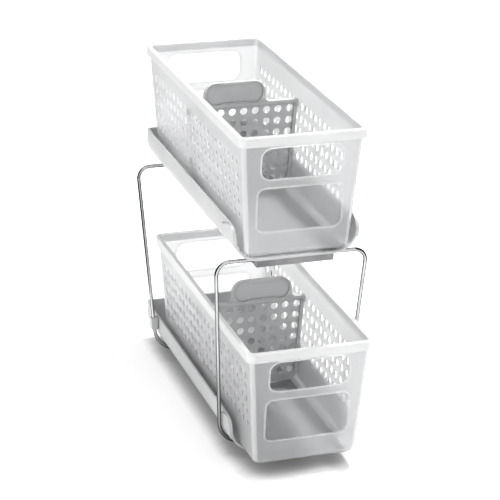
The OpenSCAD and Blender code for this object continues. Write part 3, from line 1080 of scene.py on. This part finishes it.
@dataclass
class Studio:
    """The pale floor, the white surroundings, the lamps and the camera."""

    floor_half: float = 6.0
    floor_span: tuple[float, float] = (-12.0, -0.4)
    cards: tuple[DarkCard, ...] = (
        DarkCard("card_left", (-0.45, 0.25, 0.5), 90.0, 1.6, 1.0),
        DarkCard("card_right", (0.45, 0.05, 0.5), 90.0, 1.9, 1.0),
        DarkCard("card_rear", (0.0, 1.0, 0.5), 0.0, 0.8, 1.0),
    )
    floor_grey: float = 0.88
    floor_fleck: float = 0.01
    floor_lift: float = 0.32
    contact: float = 0.026
    contact_span: tuple[float, float] = (0.45, 0.95)
    # Painted contact shadow on the floor near the object.
    painted_shadow_grey: float = 0.24
    painted_shadow_lift: float = 0.3
    behind_grey: float = 0.3
    behind_lift: float = 0.8
    world_light: float = 0.7
    front_light: float = 0.82
    front_span: tuple[float, float] = (-0.8, 0.4)
    lamps: tuple[Lamp, ...] = (
        Lamp("key", (0.55, 0.25, 2.3), 0.2, 60.0),
        Lamp("fill", (-1.8, -0.6, 0.6), 1.4, 16.0),
        Lamp("side", (1.6, -0.6, 0.9), 1.0, 6.0),
    )

    def build(self) -> None:
        """Builds the studio."""
        self._world()
        self._floor()
        for lamp in self.lamps:
            lamp.build()
        black, _, shader = new_material("black_card")
        shader.inputs["Base Color"].default_value = CARD_BLACK
        for card in self.cards:
            card.build(black)
        PhotoCamera().build()
        bpy.context.scene.view_settings.view_transform = "Standard"

    def _world(self) -> None:
        """Makes even surroundings that look white where they are seen."""
        world = bpy.data.worlds.new("surroundings")
        bpy.context.scene.world = world
        world.use_nodes = True
        bench = NodeBench(world.node_tree)
        path = bench.add("LightPath").outputs
        seen = bench.math("MAXIMUM", path["Is Camera Ray"], path["Is Glossy Ray"])
        seen = bench.math("MAXIMUM", seen, path["Is Transmission Ray"])
        lighting = bench.math("GREATER_THAN", path["Diffuse Depth"], 0.5)
        seen = bench.math("MULTIPLY", seen, bench.math("SUBTRACT", 1.0, lighting))
        toward = bench.add("SeparateXYZ", Vector=bench.add("TexCoord").outputs["Generated"])
        light = bench.span(toward.outputs["Y"], *self.front_span, self.front_light,
                           self.world_light)
        back = world.node_tree.nodes["Background"]
        back.inputs["Color"].default_value = WHITE
        strength = bench.math("MAXIMUM", seen, light)
        world.node_tree.links.new(strength, back.inputs["Strength"])

    def _floor(self) -> None:
        """Makes the floor, which is white where it is seen but for the object's shadow and a
        painted contact shadow near the object.
        """
        maker = MeshMaker()
        reach = self.floor_half / MM
        corners = ((-reach, -reach), (reach, -reach), (reach, reach), (-reach, reach))
        maker.loft([[Vector((x, y, z)) for x, y in corners] for z in self.floor_span])
        floor = maker.finish("studio_floor")
        made, bench, shader = new_material("pale_floor")
        fleck = bench.add("TexNoise", Vector=bench.add("TexCoord").outputs["Object"], Scale=3.0)
        dark, pale = (grey(self.floor_grey + d) for d in (-self.floor_fleck, self.floor_fleck))
        tone = mix_colour(bench, fleck.outputs[0], dark, pale)
        # Painted contact shadow: ambient occlusion darkens the floor near the object and lowers
        # its lift there.
        close = bench.add("AmbientOcclusion", {"samples": SHADE_SAMPLES}, Distance=self.contact)
        open_air = bench.span(close.outputs["AO"], *self.contact_span, 0.0, 1.0)
        shaded = mix_colour(bench, open_air, grey(self.painted_shadow_grey), tone)
        shader.inputs["Roughness"].default_value = 0.8
        shader.inputs["Emission Color"].default_value = WHITE
        path = bench.add("LightPath").outputs
        direct = bench.math("LESS_THAN", path["Diffuse Depth"], 0.5)
        through = bench.math("MULTIPLY", path["Is Transmission Ray"], direct)
        bench.tree.links.new(mix_colour(bench, through, shaded, grey(self.behind_grey)),
                             shader.inputs["Base Color"])
        lift = bench.math("MULTIPLY", path["Is Camera Ray"], self.floor_lift)
        lift = bench.math("MULTIPLY", lift,
                          bench.span(open_air, 0.0, 1.0, self.painted_shadow_lift, 1.0))
        lift = bench.math("ADD", lift, bench.math("MULTIPLY", through, self.behind_lift))
        bench.tree.links.new(lift, shader.inputs["Emission Strength"])
        floor.data.materials.append(made)


# ---------------------------------------------------------------- the whole


def report(name: str, pieces: Iterable[bpy.types.Object]) -> None:
    """Logs the pieces of a sub-assembly.

    Args:
        name: The sub-assembly's name.
        pieces: Its objects.
    """
    for piece in pieces:
        LOG.info("%s: %s, %d faces", name, piece.name, len(piece.data.polygons))


def main() -> None:
    """Builds the looks."""
    logging.basicConfig(level=logging.INFO, format="%(name)s: %(message)s")
    shared = SharedEffects()
    dressing = (
        (Plastic("tray_grey", (0.52, 0.525, 0.53), edge_sheen_and_wear=0.25, hollow_shade=1.0), 0.5,
         ("lower_tray", "upper_tray")),
        (Plastic("bar_grey", (0.13, 0.133, 0.138)), 0.5,
         ("lower_front_bar", "lower_rear_bar", "upper_front_bar", "upper_rear_bar")),
        (Plastic("divider_grey", (0.46, 0.465, 0.47)), 0.35,
         ("upper_divider", "lower_divider")),
        (Plastic("foot_rubber", (0.05, 0.05, 0.05), roughness=0.7), 0.4,
         ("foot_front_left", "foot_front_right", "foot_rear_left", "foot_rear_right")),
        (ChromePlate("chrome_wire"), 0.2, ("front_ring", "rear_ring")),
    )
    for finish, edge, nodes in dressing:
        MouldedSolids(nodes, edge).dress(finish.material(shared))

    zones = {
        Zone.WALL: FrostedPlastic("frosted_wall", (0.87, 0.875, 0.88), 0.84, 0.38, 0.2),
        Zone.WINDOW: FrostedPlastic("clear_window", (0.97, 0.975, 0.98), 0.96, 0.12, 0.85),
        Zone.RIM: FrostedPlastic("milky_rim", (0.985, 0.988, 0.99), 0.56, 0.38, 0.0),
        # Painted shade: the basket's floor is far darker than its walls, standing in for the shade
        # inside.
        Zone.FLOOR: FrostedPlastic("painted_shade_floor", (0.36, 0.365, 0.37), 0.45, 0.35, 0.3),
        # Partly denser plastic, partly a painted highlight: corners and beads are whiter than the
        # walls.
        Zone.CORNER: FrostedPlastic("highlit_corner", (0.94, 0.943, 0.946), 0.7, 0.38, 0.1),
    }
    shell = [zones[zone].material(shared) for zone in Zone]
    for node, body in (("upper_basket", Body.UPPER), ("lower_basket", Body.LOWER)):
        low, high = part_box(node)
        basket = Basket(body, low.y / MM, high.z / MM - Basket.height)
        basket.build(node, shell)
        report(node, basket.pieces)

    Studio().build()


if __name__ == "__main__":
    main()
